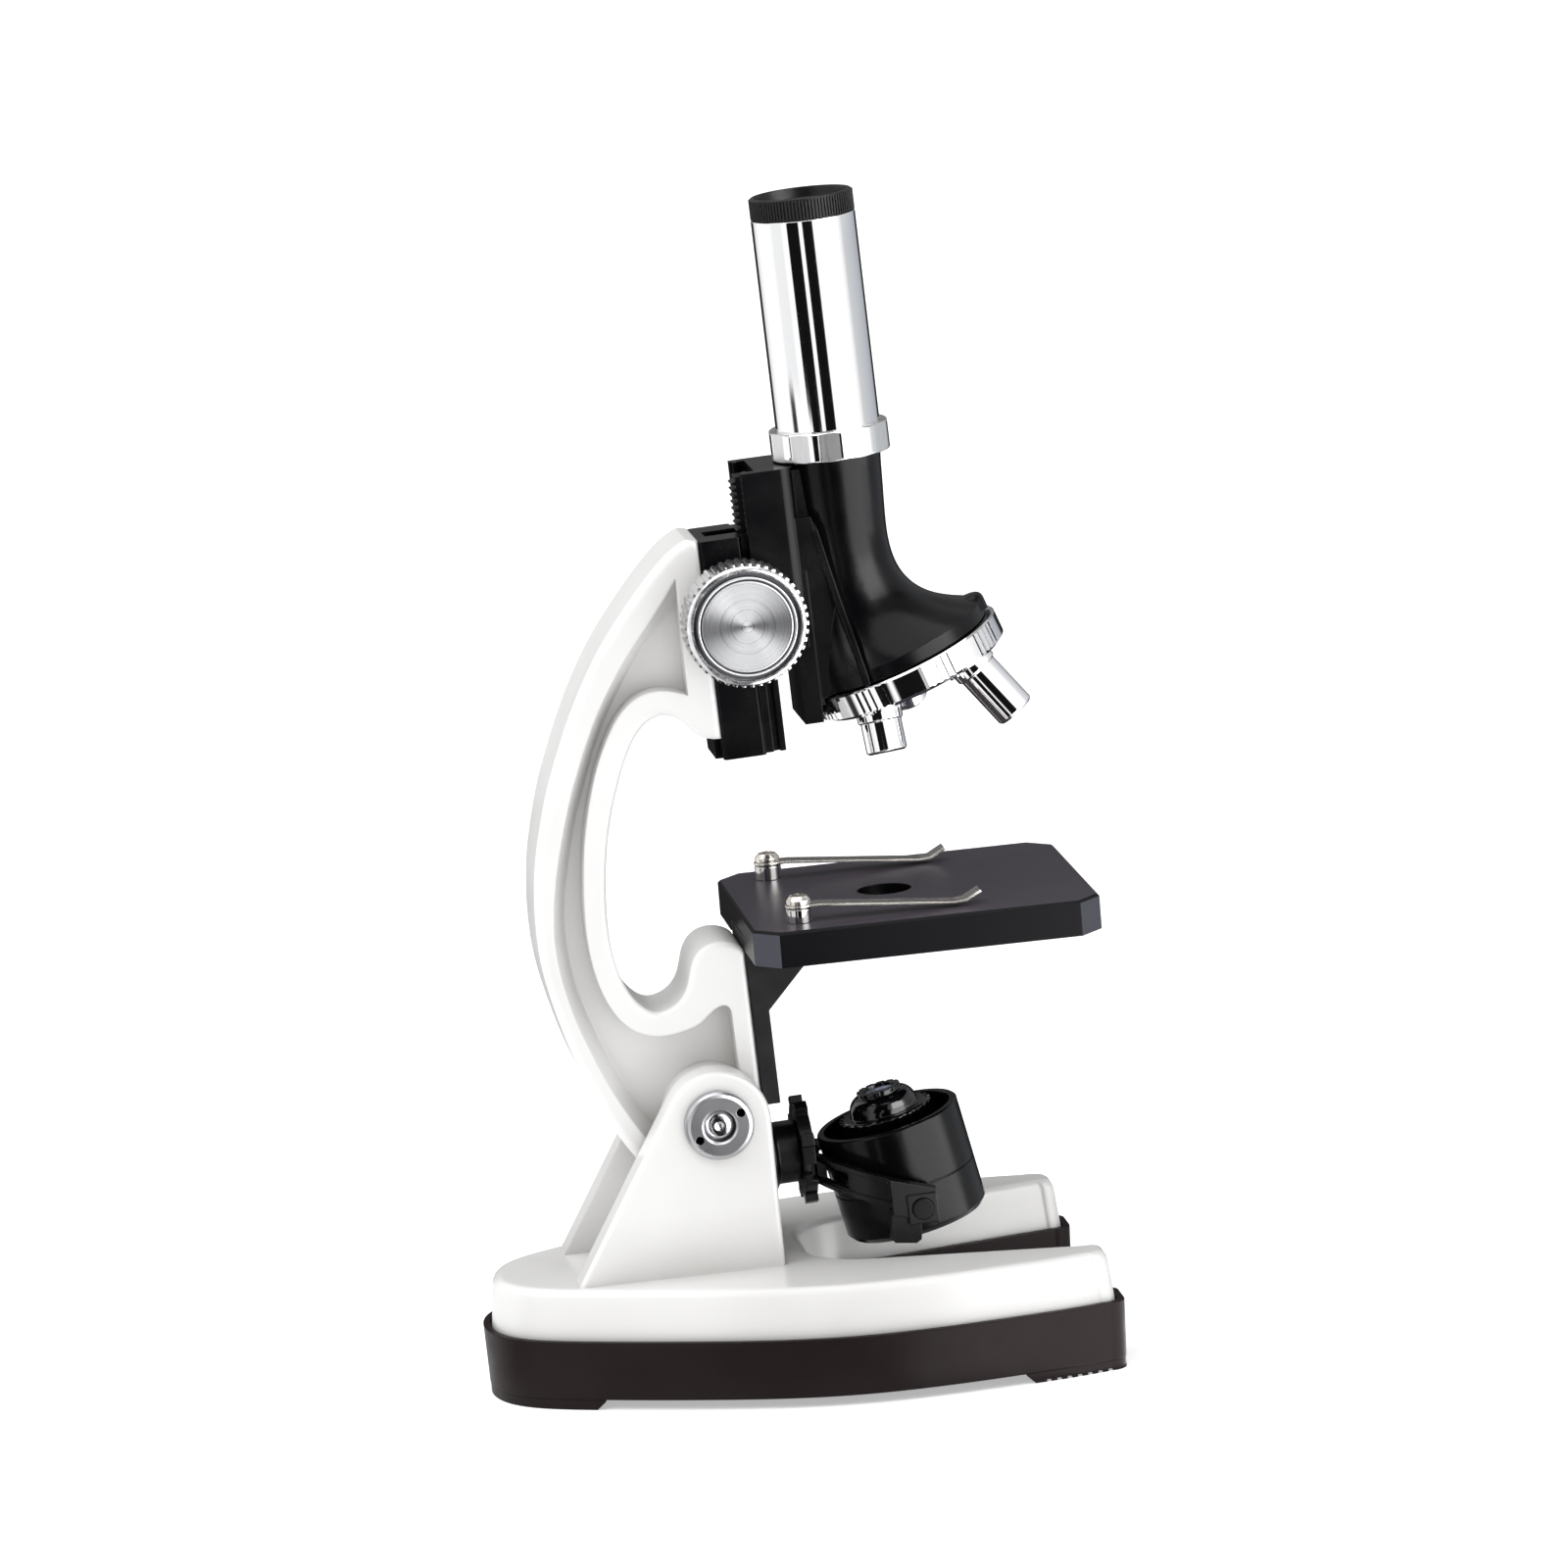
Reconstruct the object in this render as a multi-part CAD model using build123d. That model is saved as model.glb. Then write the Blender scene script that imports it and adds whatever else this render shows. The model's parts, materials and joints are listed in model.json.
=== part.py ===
from build123d import *
import math
import os

os.makedirs("parts", exist_ok=True)

# ---------------------------------------------------------------- dimensions (mm)
# Frame: +X runs forward from the arm to the stage, +Z up, origin under the middle of the base.
LEAN = 2.1                    # the arm rests leaning back by this angle from upright
PX, PZ = -14.5, 50.5          # tilt pivot

# Base
TRAY_Z0, TRAY_Z1 = 2.0, 13.0  # tray without its feet
LEDGE_Z = 11.0                # the cover stands on this ledge inside the tray
COVER_Z = 22.3                # top of the cover
LIP = 1.25                    # wall of the tray around the cover
PILLAR_IN, PILLAR_OUT = 10.1, 17.0

# Arm
ARM_HALF = 9.0
WEB_HALF = 3.8
ARM_FRONT = -4.3              # upper mounting face
ARM_LOW = -4.9                # lower mounting face

# Focus
SHAFT_X, SHAFT_Z, SHAFT_R = 1.3, 143.8, 1.5
MODULE, TEETH = 0.4, 14
PITCH_R = MODULE * TEETH / 2
PITCH = math.pi * MODULE
KNOB_R = 11.5

# Tube
TX = 23.3                     # optical axis
TUBE_R, TUBE_RI = 9.7, 8.9
RING_R = 11.2
NECK_Z = 169.9
TUBE_TOP = 214.7
EYE_TOP = 218.8

# Turret
TUR_X, TUR_Z = 32.8, 128.5
TILT = 18.5                   # turret axis forward of the optical axis
TUR_R, TUR_H = 19.0, 5.5
OBJ_C = (TUR_X - TX) / math.cos(math.radians(TILT))
OBJ_R = 3.85
PSI = 38.0                    # turret angle at rest, seen from below
OBJ_LEN = {"medium": 12.2, "long": 17.0, "short": 9.6}

# Stage
ST_X0, ST_X1, ST_Y, ST_Z0, ST_Z1, ST_CH = -6.2, 58.8, 30.0, 81.4, 88.1, 4.4
HOLE_X, HOLE_R = 22.2, 5.1
CLIP_X, CLIP_Y = 3.2, 21.5

# Illuminator
LAMP_Z = 39.4                 # swivel axis of the fork
PIN_X, PIN_Z = 21.4, 29.2     # flip axis of the drum
DRUM_TILT = 10.0
DRUM_R = 13.7
YOKE_X, YOKE_RI = 20.4, 15.2   # middle and inner radius of the yoke


# ---------------------------------------------------------------- helpers
def box(x0, x1, y0, y1, z0, z1):
    return Pos((x0 + x1) / 2, (y0 + y1) / 2, (z0 + z1) / 2) * Box(x1 - x0, y1 - y0, z1 - z0)


def rod(p, d, r, h):
    return Part() + Solid.make_cylinder(r, h, Plane(origin=p, z_dir=d))


def poly_y(pts, y0, y1):
    """Prism of an XZ polygon between two Y planes."""
    w = Wire.make_polygon([Vector(x, y0, z) for x, z in pts], close=True)
    return Part() + Solid.extrude(Face(w), Vector(0, y1 - y0, 0))


def poly_z(pts, z0, z1):
    """Prism of an XY polygon between two Z planes."""
    w = Wire.make_polygon([Vector(x, y, z0) for x, y in pts], close=True)
    return Part() + Solid.extrude(Face(w), Vector(0, 0, z1 - z0))


def spun(pts, base=Plane.XY):
    """Body of revolution about the plane's Z of an (r, z) polygon."""
    w = Wire.make_polygon([Vector(r, 0, z) for r, z in pts], close=True)
    s = Solid.revolve(Face(w), 360, Axis.Z)
    return Part() + s.moved(Location(base))


def cogged(r0, r1, n, z0, z1, duty=0.5, base=Plane.XY):
    """Fluted disc: n ribs between radius r0 and r1."""
    pts = []
    for i in range(n):
        a = 2 * math.pi * i / n
        s = 2 * math.pi / n
        for f, r in ((0.0, r0), (0.12, r1), (0.12 + duty * 0.76, r1), (0.24 + duty * 0.76, r0)):
            pts.append((r * math.cos(a + f * s), r * math.sin(a + f * s)))
    return poly_z(pts, z0, z1).moved(Location(base))


def lean(s):
    return s.rotate(Axis((PX, 0, PZ), (0, 1, 0)), -LEAN)


def mirrored(s):
    return Part() + mirror(s, about=Plane.XZ)


def save(name, *shapes):
    solids = [b for s in shapes for b in s.solids()]
    export_step(solids[0] if len(solids) == 1 else Compound(children=solids), f"parts/{name}.step")


def pan_screw(p, d, head_r, head_h, shank_r, shank_l, turn=20):
    """Pan head screw with a cross recess: p is under the head, d points from the head to the tip."""
    s = spun([(0, 0), (head_r, 0), (head_r, head_h * 0.45), (head_r * 0.72, head_h * 0.9),
              (head_r * 0.45, head_h), (0, head_h)])
    s += Solid.make_cylinder(shank_r, shank_l, Plane(origin=(0, 0, -shank_l)))
    w, l = head_r * 0.26, head_r * 1.25
    for a in (turn, turn + 90):
        s -= Pos(0, 0, head_h) * Rot(0, 0, a) * Box(l, w, head_h * 1.0)
    return s.moved(Location(Plane(origin=p, z_dir=Vector(*d) * -1)))


# ---------------------------------------------------------------- base plan
SIDE = [(53.4, 35.9), (47.6, 37.4), (38.1, 38.9), (28.5, 40.0), (19.1, 40.6), (9.9, 40.5),
        (0.7, 39.3), (-8.1, 37.0), (-20.5, 32.3), (-34.6, 26.0), (-46.4, 20.0), (-53.6, 15.2),
        (-57.9, 9.8), (-59.7, 4.8), (-60.2, 0.0)]
TOE_X = 56.4
GAP_X = 4.0


def plan(d, z):
    """Horseshoe outline of the base, drawn in by d, at height z."""
    (xa, ya), (xb, yb) = SIDE[:2]
    x0 = xa - 0.9 * d
    side = [(x0, ya + (yb - ya) * (x0 - xa) / (xb - xa))] + [p for p in SIDE[1:] if p[0] < x0 - 2]
    pts = [(x, -y) for x, y in side] + [(x, y) for x, y in reversed(side[:-1])]
    ins = []
    for i, (x, y) in enumerate(pts):
        xa, ya = pts[max(i - 1, 0)]
        xb, yb = pts[min(i + 1, len(pts) - 1)]
        tx, ty = xb - xa, yb - ya
        n = math.hypot(tx, ty)
        ins.append((x + ty / n * d, y - tx / n * d))
    v = lambda p: Vector(p[0], p[1], z)
    wall = lambda x: (x, -(15.4 + (x - 13.0) * 0.2164) - d * 1.023)
    a, b = ins[0], ins[-1]
    c1 = (TOE_X - d, -32.4 + d * 0.45)
    c2 = (TOE_X - d, -26.6 - d * 0.35)
    c3 = wall(53.2 - d * 0.8)
    c4 = wall(13.0 - d * 0.2)
    c5 = (GAP_X - d, -6.5 - d * 0.3)
    flip = lambda p: (p[0], -p[1])
    mid = lambda p, q, s: ((p[0] + q[0]) / 2 + s[0], (p[1] + q[1]) / 2 + s[1])
    q = 1 - d / 6.5
    m1 = mid(a, c1, (0.75, -0.75))
    m2 = mid(c2, c3, (0.75 * q, 0.65 * q))
    m3 = mid(c4, c5, (-1.75, -1.75))
    edges = [Edge.make_spline([v(p) for p in ins]),
             Edge.make_three_point_arc(v(b), v(flip(m1)), v(flip(c1))),
             Edge.make_line(v(flip(c1)), v(flip(c2))),
             Edge.make_three_point_arc(v(flip(c2)), v(flip(m2)), v(flip(c3))),
             Edge.make_line(v(flip(c3)), v(flip(c4))),
             Edge.make_three_point_arc(v(flip(c4)), v(flip(m3)), v(flip(c5))),
             Edge.make_line(v(flip(c5)), v(c5)),
             Edge.make_three_point_arc(v(c5), v(m3), v(c4)),
             Edge.make_line(v(c4), v(c3)),
             Edge.make_three_point_arc(v(c3), v(m2), v(c2)),
             Edge.make_line(v(c2), v(c1)),
             Edge.make_three_point_arc(v(c1), v(m1), v(a))]
    return Wire(edges)


def slab(d, z0, z1):
    return Part() + Solid.extrude(Face(plan(d, z0)), Vector(0, 0, z1 - z0))


def drafted(d0, z0, d1, z1):
    return Part() + Solid.make_loft([plan(d0, z0), plan(d1, z1)], ruled=True)


def hollow(z0, z1):
    """Inside of the cover: the outline drawn in by a wall, stopping short of the toes."""
    d = 5.7
    pts = []
    for i in range(2, len(SIDE)):
        xa, ya = SIDE[max(i - 1, 2)]
        xb, yb = SIDE[min(i + 1, len(SIDE) - 1)]
        tx, ty = (xb - xa, yb - ya) if i < len(SIDE) - 1 else (0.0, -1.0)
        n = math.hypot(tx, ty)
        x, y = SIDE[i]
        pts.append((x - ty / n * d, y + tx / n * d))
    pts = [(x, -y) for x, y in pts] + [(x, y) for x, y in reversed(pts[:-1])]
    v = lambda p: Vector(p[0], p[1], z0)
    low = [(40.8, -31.4), (40.8, -28.6), (38.6, -26.9), (12.0, -21.2), (7.2, -19.6), (2.9, -16.9), (-0.4, -12.6), (-2.2, -8.6)]
    chain = [pts[-1]] + [(x, -y) for x, y in low] + low[::-1] + [pts[0]]
    edges = [Edge.make_spline([v(p) for p in pts])]
    edges += [Edge.make_line(v(p), v(q)) for p, q in zip(chain, chain[1:])]
    return Part() + Solid.extrude(Face(Wire(edges)), Vector(0, 0, z1 - z0))


SCREWS = [(-44.5, 0.0), (38.5, -30.8), (38.5, 30.8)]
CELLS = (-18.6, -7.4)
CELL_Z, CELL_R, CELL_L = 9.6, 5.2, 44.5

# Tray: open box with a ledge for the cover, screw pads, battery bay and door opening.
tray = drafted(0.35, TRAY_Z0, 0.0, TRAY_Z1)
tray -= slab(3.7, TRAY_Z0 + 2, LEDGE_Z)
tray -= slab(LIP, LEDGE_Z, TRAY_Z1 + 1)
for x, y in SCREWS:
    tray += rod((x, y, 3.5), (0, 0, 1), 4.2, 2.5)
for s in (1, -1):
    tray += box(-24.4, -1.8, min(s * 22.7, s * 24.2), max(s * 22.7, s * 24.2), 3.5, 10.9)
tray -= box(-24.2, -1.8, -22.0, 22.0, 1, 5)
for x, y in SCREWS:
    tray -= rod((x, y, 1), (0, 0, 1), 2.8, 3.2)
    tray -= rod((x, y, 1), (0, 0, 1), 1.6, 8)
save("base_tray", tray)

door = box(-24.05, -1.95, -21.85, 21.85, 2.1, 4.0)
for i in range(9):
    door -= box(-19.3, -6.7, -9.3 + i * 2.2, -8.3 + i * 2.2, 1.5, 2.6)
save("battery_door", door)

cells = []
for x, s in zip(CELLS, (1, -1)):
    c = rod((x, -s * CELL_L / 2, CELL_Z), (0, s, 0), CELL_R, CELL_L - 1)
    cells.append(c + rod((x, s * (CELL_L / 2 - 1), CELL_Z), (0, s, 0), 1.9, 1))
save("battery_cells", *cells)

contacts = [box(-23.0, -3.0, 22.25, 22.7, 5.2, 10.9)]
contacts += [box(x - 4.4, x + 4.4, -22.7, -22.25, 5.2, 10.9) for x in CELLS]
save("battery_contacts", *contacts)

# Feet: ribbed pads under the heel and the two toes.
heel = slab(0.45, 0, TRAY_Z0) & box(-70, -40.5, -50, 50, -1, 5)
heel -= Pos(-40.5, 0, 0) * Rot(0, 45, 0) * Box(2.4, 90, 2.4)
for x, y in SCREWS[:1]:
    heel -= rod((x, y, -1), (0, 0, 1), 2.9, 5)
toes = []
for s in (1, -1):
    t = slab(0.45, 0, TRAY_Z0) & box(36.2, 70, min(0, s * 60), max(0, s * 60), -1, 5)
    t -= Pos(36.2, s * 30, 0) * Rot(0, 45, 0) * Box(2.4, 60, 2.4)
    for i in range(7):
        t -= box(40.0 + i * 2.0, 40.9 + i * 2.0, -60, 60, -1, 0.45)
    t -= rod((38.5, s * 30.8, -1), (0, 0, 1), 2.9, 5)
    toes.append(t)
save("base_feet", heel, *toes)

# Cover: drafted shell with the two pillars that carry the arm.
cover = Part() + Solid.make_loft([plan(d, z) for d, z in (
    (LIP + 0.2, LEDGE_Z), (2.4, COVER_Z - 2.0), (2.53, COVER_Z - 1.23), (2.9, COVER_Z - 0.59),
    (3.45, COVER_Z - 0.15), (4.1, COVER_Z))], ruled=True)
cover -= hollow(LEDGE_Z - 1, COVER_Z - 2.2)


def pillar(y0, y1):
    r = 9.9
    a0, a1 = math.radians(148.6), math.radians(3.0)
    p = lambda a: Vector(PX + r * math.cos(a), y0, PZ + r * math.sin(a))
    foot = COVER_Z - 1.0
    rear = Vector(-43.6, y0, foot)
    front = Vector(-4.2, y0, foot)
    e = [Edge.make_line(rear, p(a0)), Edge.make_three_point_arc(p(a0), p((a0 + a1) / 2), p(a1)),
         Edge.make_line(p(a1), front), Edge.make_line(front, rear)]
    return Part() + Solid.extrude(Face(Wire(e)), Vector(0, y1 - y0, 0))


for s in (1, -1):
    p = pillar(s * PILLAR_IN, s * PILLAR_OUT)
    outer = [e for e in p.edges() if abs(e.center().Y - s * PILLAR_OUT) < 1e-3 and e.center().Z > 25]
    p = Part() + fillet(outer, 1.0)
    cover += p
for x, y in SCREWS:
    boss = rod((x, y, 6.0), (0, 0, 1), 3.4, COVER_Z - 3.5 - 6.0 + 2)
    cover += boss
    cover -= rod((x, y, 5), (0, 0, 1), 1.5, 11)
cover -= rod((PX, -30, PZ), (0, 1, 0), 3.02, 60)
save("base_cover", cover)

save("base_screws", *[pan_screw((x, y, 4.2), (0, 0, 1), 2.5, 1.6, 1.45, 10.5) for x, y in SCREWS])

# ---------------------------------------------------------------- tilt pivot
half = [(0, 17.6), (0.9, 18.25), (2.2, 18.0), (3.0, 17.2)]
save("pivot_bolt", spun([(r, -w) for r, w in half] + [(r, w) for r, w in reversed(half)],
                        Plane(origin=(PX, 0, PZ), z_dir=(0, 1, 0))))


def nut(s):
    b = Plane(origin=(PX, s * PILLAR_OUT, PZ), z_dir=(0, s, 0))
    n = spun([(3.01, 0), (6.6, 0), (6.6, 0.8), (6.45, 1.35), (6.05, 1.8), (5.5, 2.1), (3.4, 2.1), (3.01, 1.75)], b)
    for a in (29, 209):
        n -= rod((PX + 4.6 * math.cos(math.radians(a)), s * (PILLAR_OUT + 0.6), PZ + 4.6 * math.sin(math.radians(a))),
                 (0, s, 0), 0.8, 4)
    return n


save("pivot_nuts", nut(-1), nut(1))


def washer(s):
    return spun([(3.02, 0), (6.0, 0), (6.0, 1.0), (3.02, 1.0)],
                Plane(origin=(PX, s * (ARM_HALF + 0.1), PZ), z_dir=(0, s, 0)))


save("pivot_washers", washer(-1), washer(1))

# ---------------------------------------------------------------- arm
BACK = [(-6.4, 158.8), (-9.1, 157.5), (-13.0, 154.3), (-17.2, 150.0), (-21.4, 145.2), (-25.7, 139.6),
        (-29.1, 134.2), (-32.7, 127.5), (-35.8, 120.6), (-37.8, 115.7), (-39.9, 109.1), (-41.4, 103.4),
        (-42.4, 97.5), (-43.0, 89.3), (-42.8, 82.8), (-42.0, 77.3), (-40.7, 71.2), (-39.0, 64.9),
        (-36.8, 58.6), (-34.2, 52.4), (-31.1, 46.4), (-27.1, 40.9), (-21.8, 36.2), (-15.0, 33.2)]
MOUTH = [(ARM_LOW, 80.2), (-5.6, 81.5), (-7.4, 82.6), (-10.1, 83.0), (-13.0, 82.0), (-15.0, 79.4),
         (-16.0, 76.3), (-17.4, 73.6), (-19.8, 71.8), (-22.7, 71.4), (-25.3, 73.0), (-27.6, 76.6),
         (-29.1, 81.6), (-29.6, 88.2), (-29.0, 97.0), (-27.8, 104.3), (-26.2, 110.3), (-24.3, 115.6),
         (-22.3, 120.2), (-19.9, 124.0), (-17.7, 126.0), (-15.0, 126.8), (-12.4, 126.1), (-10.4, 124.2),
         (-8.8, 122.4), (-6.7, 121.3), (ARM_FRONT, 121.0)]


def arm_outline(y):
    v = lambda p: Vector(p[0], y, p[1])
    e = [Edge.make_spline([v(p) for p in BACK]),
         Edge.make_line(v(BACK[-1]), v((ARM_LOW, 31.8))),
         Edge.make_line(v((ARM_LOW, 31.8)), v(MOUTH[0])),
         Edge.make_spline([v(p) for p in MOUTH]),
         Edge.make_line(v(MOUTH[-1]), v((ARM_FRONT, 158.3))),
         Edge.make_line(v((ARM_FRONT, 158.3)), v(BACK[0]))]
    return Face(Wire(e))


# rear side of the pocket at the rim and, drawn in, at the web
POCKET_BACK = [(-9.3, 152.6), (-15.7, 144.3), (-20.1, 139.2), (-24.1, 133.7), (-27.4, 128.4), (-30.6, 122.0),
               (-33.5, 115.2), (-36.0, 107.9), (-38.0, 101.0), (-39.4, 94.4), (-40.1, 88.8), (-40.0, 83.0),
               (-39.3, 77.6), (-38.0, 71.9), (-36.1, 65.9), (-33.9, 59.9), (-31.4, 54.4), (-28.1, 48.5),
               (-24.8, 43.2)]
POCKET_DEEP = [(-9.4, 146.0), (-13.7, 142.5), (-18.0, 137.6), (-21.8, 132.2), (-25.1, 127.0), (-28.1, 120.9),
               (-30.9, 114.2), (-33.5, 107.1), (-35.4, 100.3), (-36.8, 94.0), (-37.4, 88.6), (-37.3, 83.2),
               (-36.7, 78.0), (-35.4, 72.6), (-33.6, 66.8), (-31.4, 61.0), (-29.0, 55.6), (-25.9, 49.9),
               (-22.4, 43.2)]
POCKET_MOUTH = [(-8.7, 69.6), (-10.0, 71.0), (-12.0, 70.4), (-14.6, 68.4), (-18.2, 67.2), (-22.6, 66.9),
                (-27.2, 68.6), (-30.8, 73.0), (-32.9, 79.0), (-33.8, 87.0), (-33.4, 96.0), (-32.2, 104.6),
                (-30.4, 112.0), (-28.0, 119.0), (-25.2, 124.6), (-21.6, 129.2), (-17.6, 131.4), (-13.4, 131.4),
                (-9.6, 130.0)]


def pocket_edge(back, y):
    v = lambda p: Vector(p[0], y, p[1])
    return Wire([Edge.make_spline([v(p) for p in back]),
                 Edge.make_line(v(back[-1]), v((-8.7, 43.2))),
                 Edge.make_line(v((-8.7, 43.2)), v(POCKET_MOUTH[0])),
                 Edge.make_spline([v(p) for p in POCKET_MOUTH]),
                 Edge.make_line(v(POCKET_MOUTH[-1]), v(back[0]))])


def pocket(s):
    return Part() + Solid.make_loft([pocket_edge(POCKET_DEEP, s * WEB_HALF),
                                     pocket_edge(POCKET_BACK, s * (ARM_HALF + 0.4))], ruled=True)


arm = Part() + Solid.extrude(arm_outline(-ARM_HALF), Vector(0, 2 * ARM_HALF, 0))
rim = [e for e in arm.edges() if abs(abs(e.center().Y) - ARM_HALF) < 1e-3]
spine = [e for e in rim if e.center().X < -30]
arm = Part() + fillet(spine, 1.7)
rim = [e for e in arm.edges() if abs(abs(e.center().Y) - ARM_HALF) < 1e-3 and e.center().X > -30]
arm = Part() + fillet(rim, 1.1)
boss = rod((PX, -ARM_HALF, PZ), (0, 1, 0), 9.3, 2 * ARM_HALF)
for s in (1, -1):
    arm -= pocket(s)
arm += boss & (Part() + Solid.extrude(arm_outline(-ARM_HALF), Vector(0, 2 * ARM_HALF, 0)))
arm -= rod((PX, -30, PZ), (0, 1, 0), 3.05, 60)
GUIDE_SCREWS = (128.0, 155.0)
LEG_SCREWS = (62.0, 75.0)
for z in GUIDE_SCREWS:
    arm -= rod((ARM_FRONT + 1, 0, z), (-1, 0, 0), 1.25, 6.2)
for z in LEG_SCREWS:
    arm -= rod((ARM_LOW + 1, 0, z), (-1, 0, 0), 1.25, 5.0)
arm -= rod((ARM_LOW + 1, 0, LAMP_Z), (-1, 0, 0), 2.0, 8.4)
save("arm", lean(arm))

# ---------------------------------------------------------------- rack guide
GZ0, GZ1 = 116.9, 158.1
guide = box(ARM_FRONT, 3.7, -8.8, 8.8, GZ0, GZ1)
guide = Part() + chamfer(guide.edges().filter_by(Axis.Z), 0.5)
guide += box(3.0, 7.6, -7.0, 7.0, GZ0, GZ1)
for s in (1, -1):
    guide -= box(5.3, 6.5, min(s * 6.0, s * 8), max(s * 6.0, s * 8), GZ0 - 1, GZ1 + 1)
guide += box(-5.6, ARM_FRONT, -6, 6, GZ0, 120.6)
guide -= box(-2.3, 8.0, -2.7, 2.7, GZ0 - 1, GZ1 + 1)
guide -= rod((SHAFT_X, -12, SHAFT_Z), (0, 1, 0), SHAFT_R + 0.05, 24)
for z in GUIDE_SCREWS:
    guide -= rod((0, 0, z), (-1, 0, 0), 1.25, 8)
save("guide_block", lean(guide))
save("guide_screws", *[lean(pan_screw((-2.3, 0, z), (-1, 0, 0), 2.3, 1.5, 1.2, 7.0)) for z in GUIDE_SCREWS])

# ---------------------------------------------------------------- focus drive
save("focus_shaft", lean(rod((SHAFT_X, -21.4, SHAFT_Z), (0, 1, 0), SHAFT_R, 42.8)))

pts = []
for i in range(TEETH):
    a = 2 * math.pi * i / TEETH
    for r, h in ((2.32, -0.34), (PITCH_R, -0.235), (3.13, -0.10), (3.13, 0.10), (PITCH_R, 0.235), (2.32, 0.34)):
        b = a + h / r
        pts.append((SHAFT_X + r * math.cos(b), SHAFT_Z + r * math.sin(b)))
pinion = poly_y(pts, -2.3, 2.3) - rod((SHAFT_X, -5, SHAFT_Z), (0, 1, 0), SHAFT_R + 0.01, 10)
save("pinion", lean(pinion))

RACK_Z0, RACK_Z1 = 130.2, 168.3
px = SHAFT_X + PITCH_R
pts = [(8.6, RACK_Z0), (px + 0.5, RACK_Z0)]
k0 = math.ceil((RACK_Z0 + 0.5 - SHAFT_Z) / PITCH - 0.5)
k = k0
while SHAFT_Z + (k + 0.5) * PITCH < RACK_Z1 - 0.5:
    zc = SHAFT_Z + (k + 0.5) * PITCH
    pts += [(px + 0.5, zc - 0.41), (px - 0.33, zc - 0.115), (px - 0.33, zc + 0.115), (px + 0.5, zc + 0.41)]
    k += 1
pts += [(px + 0.5, RACK_Z1), (8.6, RACK_Z1)]
rack = poly_y(pts, -2.3, 2.3)
save("rack", lean(rack))


def knob(s):
    b = Plane(origin=(SHAFT_X, s * 9.6, SHAFT_Z), x_dir=(1, 0, 0), z_dir=(0, s, 0))
    k = spun([(0, 0), (4.2, 0), (4.2, 4.0), (9.8, 4.0), (11.1, 4.6), (11.1, 13.3), (10.8, 13.8), (10.4, 14.0), (0, 14.0)], b)
    k += cogged(10.8, KNOB_R, 46, 5.2, 12.7, base=b)
    k -= rod((SHAFT_X, s * 9.0, SHAFT_Z), (0, s, 0), SHAFT_R + 0.01, 12.45)
    k -= spun([(0, 12.6), (10.05, 12.6), (10.05, 15), (0, 15)], b)
    return k


def cap(s):
    b = Plane(origin=(SHAFT_X, s * 22.2, SHAFT_Z), x_dir=(1, 0, 0), z_dir=(0, s, 0))
    return spun([(0, 0), (10.0, 0), (10.0, 0.25), (9.3, 0.25), (9.3, 1.35), (9.15, 1.5), (8.9, 1.5), (8.75, 1.35),
                 (8.75, 0.95), (8.5, 0.95), (8.5, 1.4), (8.35, 1.55), (4.0, 1.45), (0, 1.35)], b)


save("knob_near", lean(knob(-1)))
save("knob_far", lean(knob(1)))
save("knob_caps", lean(cap(-1)), lean(cap(1)))

# ---------------------------------------------------------------- tube carrier
TURRET = Plane(origin=(TUR_X, 0, TUR_Z), x_dir=(math.cos(math.radians(TILT)), 0, math.sin(math.radians(TILT))),
               z_dir=(-math.sin(math.radians(TILT)), 0, math.cos(math.radians(TILT))))


def ring_at(x, z, r, tilt):
    t = math.radians(tilt)
    return Wire.make_circle(r, Plane(origin=(x, 0, z), x_dir=(math.cos(t), 0, math.sin(t)),
                                     z_dir=(-math.sin(t), 0, math.cos(t))))


sk = TURRET.from_local_coords(Vector(0, 0, 5.4))
body = Part() + Solid.make_loft([
    ring_at(TX, NECK_Z, 9.25, 0), ring_at(TX, 162.0, 8.85, 0), ring_at(TX, 154.5, 8.65, 0),
    ring_at(TX + 0.5, 147.6, 9.2, 3), ring_at(25.6, 141.0, 11.3, 9.5), ring_at(28.3, 136.6, 14.4, 14.5),
    ring_at(sk.X, sk.Z, 17.3, TILT)])
body += Part() + Solid.make_cylinder(17.3, 2.6, Plane(origin=TURRET.from_local_coords(Vector(0, 0, 2.9)), z_dir=TURRET.z_dir))
# click housing on the front of the nosepiece
bump = [(0, 3.2), (3.1, 3.2), (3.1, 5.3)]
bump += [(1.9 + 1.2 * math.cos(math.radians(a)), 5.3 + 1.3 * math.sin(math.radians(a))) for a in range(15, 91, 15)]
body += spun(bump + [(0, 6.75)], Plane(origin=TURRET.from_local_coords(Vector(15.2, 0, 0)), z_dir=TURRET.z_dir))
# column that rides on the guide
col = box(7.8, 14.8, -9.6, 9.6, 136.0, 169.7)
col = Part() + fillet(col.edges().filter_by(Axis.Z).filter_by(lambda e: e.center().X > 12.5), 2.6)
col += box(11.5, 15.0, -9.0, 9.0, 121.5, 150.0)
col += box(12.0, TX, -6.0, 6.0, 131.0, 168.6)
for s in (1, -1):
    col += box(5.0, 8.2, min(s * 7.15, s * 9.6), max(s * 7.15, s * 9.6), 136.0, 169.7)
    col += box(5.5, 6.3, min(s * 6.2, s * 7.4), max(s * 6.2, s * 7.4), 136.0, 169.7)
# side gussets between column and tube housing
col += poly_y([(11.8, 160.0), (17.0, 160.0), (17.6, 157.6), (22.5, 131.9), (22.5, 126.0), (11.8, 124.0)], -8.9, 8.9)
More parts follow.
